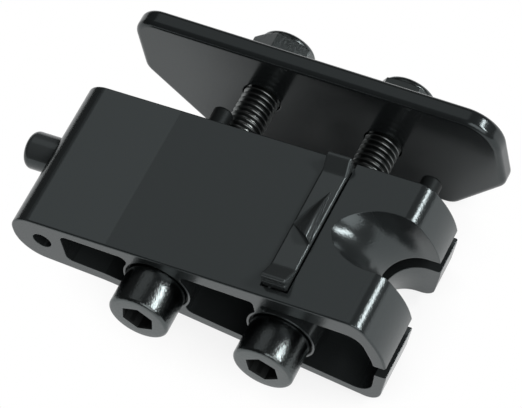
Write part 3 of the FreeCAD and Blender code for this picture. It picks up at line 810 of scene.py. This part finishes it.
def softbox(name, towards, distance, width, depth, radiance, shift=0.0, along=(0.0, 1.0, 0.0)):
    """Rectangular lamp that faces the bracket, its depth along a given line, shifted sideways if asked."""
    lamp = bpy.data.lights.new(name, "AREA")
    lamp.shape = "RECTANGLE"
    lamp.size, lamp.size_y = width, depth
    lamp.energy = radiance * math.pi * width * depth
    away = Vector(towards).normalized()
    along = Vector(along)
    along = (along - along.dot(away) * away).normalized()
    across = along.cross(away)
    turn = Matrix((across, along, away)).transposed()
    obj = bpy.data.objects.new(name, lamp)
    obj.matrix_world = Matrix.Translation(away * distance + across * shift) @ turn.to_4x4()
    bpy.context.scene.collection.objects.link(obj)
    return obj


class BRACKET_OT_stage(bpy.types.Operator):
    """Set up the pale floor, the studio lamps and the camera"""

    bl_idname = "bracket.stage"
    bl_label = "Stage"

    def execute(self, context):
        scene = context.scene
        props = scene.bracket_stage
        self.add_floor(scene, props)
        self.add_lights(scene, props)
        self.add_camera(scene, props)
        scene.view_settings.view_transform = "Standard"
        return {"FINISHED"}

    def add_floor(self, scene, props):
        half = 6.0
        level = CAD_BOX[0].z - 0.2 * MM
        corners = [(-half, -half, level), (half, -half, level), (half, half, level), (-half, half, level)]
        data = bpy.data.meshes.new("floor")
        data.from_pydata(corners, [], [(0, 1, 2, 3)])
        floor = bpy.data.objects.new("floor", data)
        scene.collection.objects.link(floor)
        material, nodes, links, shader = new_material("Studio floor")
        shader.inputs["Base Color"].default_value = (*props.floor, 1.0)
        shader.inputs["Roughness"].default_value = 0.9
        shader.inputs["Specular IOR Level"].default_value = 0.0
        # White where nothing stands near, a plain pale floor that takes the shadow close to the bracket
        glow = nodes.new("ShaderNodeEmission")
        path = nodes.new("ShaderNodeLightPath")
        near = nodes.new("ShaderNodeAmbientOcclusion")
        near.inputs["Distance"].default_value = 22.0 * MM
        clear = map_range(nodes, links, near.outputs["AO"], 0.0, 1.0, 0.38, 0.74)
        seen = join(nodes, links, "MULTIPLY", path.outputs["Is Camera Ray"],
                    map_range(nodes, links, clear, 0.85, 1.0))
        # Reflections find it white in front of the bracket too
        place = nodes.new("ShaderNodeTexCoord")
        split = nodes.new("ShaderNodeSeparateXYZ")
        links.new(place.outputs["Object"], split.inputs["Vector"])
        ahead = map_range(nodes, links, split.outputs["Y"], 1.0, 0.0, -12.0 * MM, -4.0 * MM)
        bright = join(nodes, links, "MAXIMUM", clear, ahead)
        for label in ("Is Glossy Ray", "Is Transmission Ray"):
            mirrored = join(nodes, links, "MULTIPLY", path.outputs[label], bright)
            seen = join(nodes, links, "MAXIMUM", seen, mirrored)
        mix = nodes.new("ShaderNodeMixShader")
        links.new(seen, mix.inputs["Fac"])
        links.new(shader.outputs["BSDF"], mix.inputs[1])
        links.new(glow.outputs["Emission"], mix.inputs[2])
        links.new(mix.outputs["Shader"], nodes["Material Output"].inputs["Surface"])
        data.materials.append(material)

    def add_lights(self, scene, props):
        world = bpy.data.worlds.new("Studio")
        world.use_nodes = True
        background = world.node_tree.nodes["Background"]
        background.inputs["Color"].default_value = (1.0, 1.0, 1.0, 1.0)
        background.inputs["Strength"].default_value = props.surround
        scene.world = world
        softbox("key_box", towards=(0.74, 0.34, 0.58), distance=0.8, width=0.13, depth=0.38, radiance=24.0,
                along=(-0.20, 0.26, 0.10))
        softbox("fill_box", towards=(0.55, -0.50, 0.68), distance=0.9, width=0.75, depth=0.75, radiance=2.2)
        softbox("roof_panel", towards=(-0.3383, 0.3366, 0.6533), distance=0.8, width=0.54, depth=0.5,
                radiance=0.39, shift=0.146)

    def add_camera(self, scene, props):
        data = bpy.data.cameras.new("camera")
        data.sensor_fit = "HORIZONTAL"
        data.sensor_width = SENSOR_WIDTH
        data.lens = props.lens
        data.clip_start, data.clip_end = 0.01, 50.0
        right = Vector(CAMERA_RIGHT).normalized()
        down = Vector(CAMERA_DOWN).normalized()
        back = right.cross(-down).normalized()
        up = back.cross(right)
        turn = Matrix((right, up, back)).transposed()
        camera = bpy.data.objects.new("camera", data)
        camera.matrix_world = Matrix.Translation(CAMERA_AT) @ turn.to_4x4()
        scene.collection.objects.link(camera)
        scene.camera = camera


class BRACKET_PT_sidebar(bpy.types.Panel):
    """Lists the bracket's pieces and their settings"""

    bl_idname = "BRACKET_PT_sidebar"
    bl_label = "Bike lock bracket"
    bl_space_type = "VIEW_3D"
    bl_region_type = "UI"
    bl_category = "Bracket"

    def draw(self, context):
        layout = self.layout
        for operator in OPERATORS:
            layout.operator(operator.bl_idname)
        for group in SETTINGS:
            box = layout.box()
            props = getattr(context.scene, group)
            for name in props.bl_rna.properties.keys():
                if name not in ("rna_type", "name"):
                    box.prop(props, name)


OPERATORS = (
    BRACKET_OT_housing,
    BRACKET_OT_strip,
    BRACKET_OT_plunger,
    BRACKET_OT_bolts,
    BRACKET_OT_clamp,
    BRACKET_OT_bumpers,
    BRACKET_OT_stage,
)
SETTINGS = {
    "bracket_finish": BracketFinish,
    "bracket_strip": BracketStrip,
    "bracket_bolt": BracketBolt,
    "bracket_stage": BracketStage,
}
CLASSES = (*SETTINGS.values(), *OPERATORS, BRACKET_PT_sidebar)


def register():
    for cls in CLASSES:
        bpy.utils.register_class(cls)
    for name, group in SETTINGS.items():
        setattr(bpy.types.Scene, name, PointerProperty(type=group))


def unregister():
    for name in SETTINGS:
        delattr(bpy.types.Scene, name)
    for cls in reversed(CLASSES):
        bpy.utils.unregister_class(cls)


def main():
    register()
    bpy.ops.bracket.housing()
    bpy.ops.bracket.strip()
    bpy.ops.bracket.plunger()
    bpy.ops.bracket.bolts()
    bpy.ops.bracket.clamp()
    bpy.ops.bracket.bumpers()
    bpy.ops.bracket.stage()


if __name__ == "__main__":
    main()
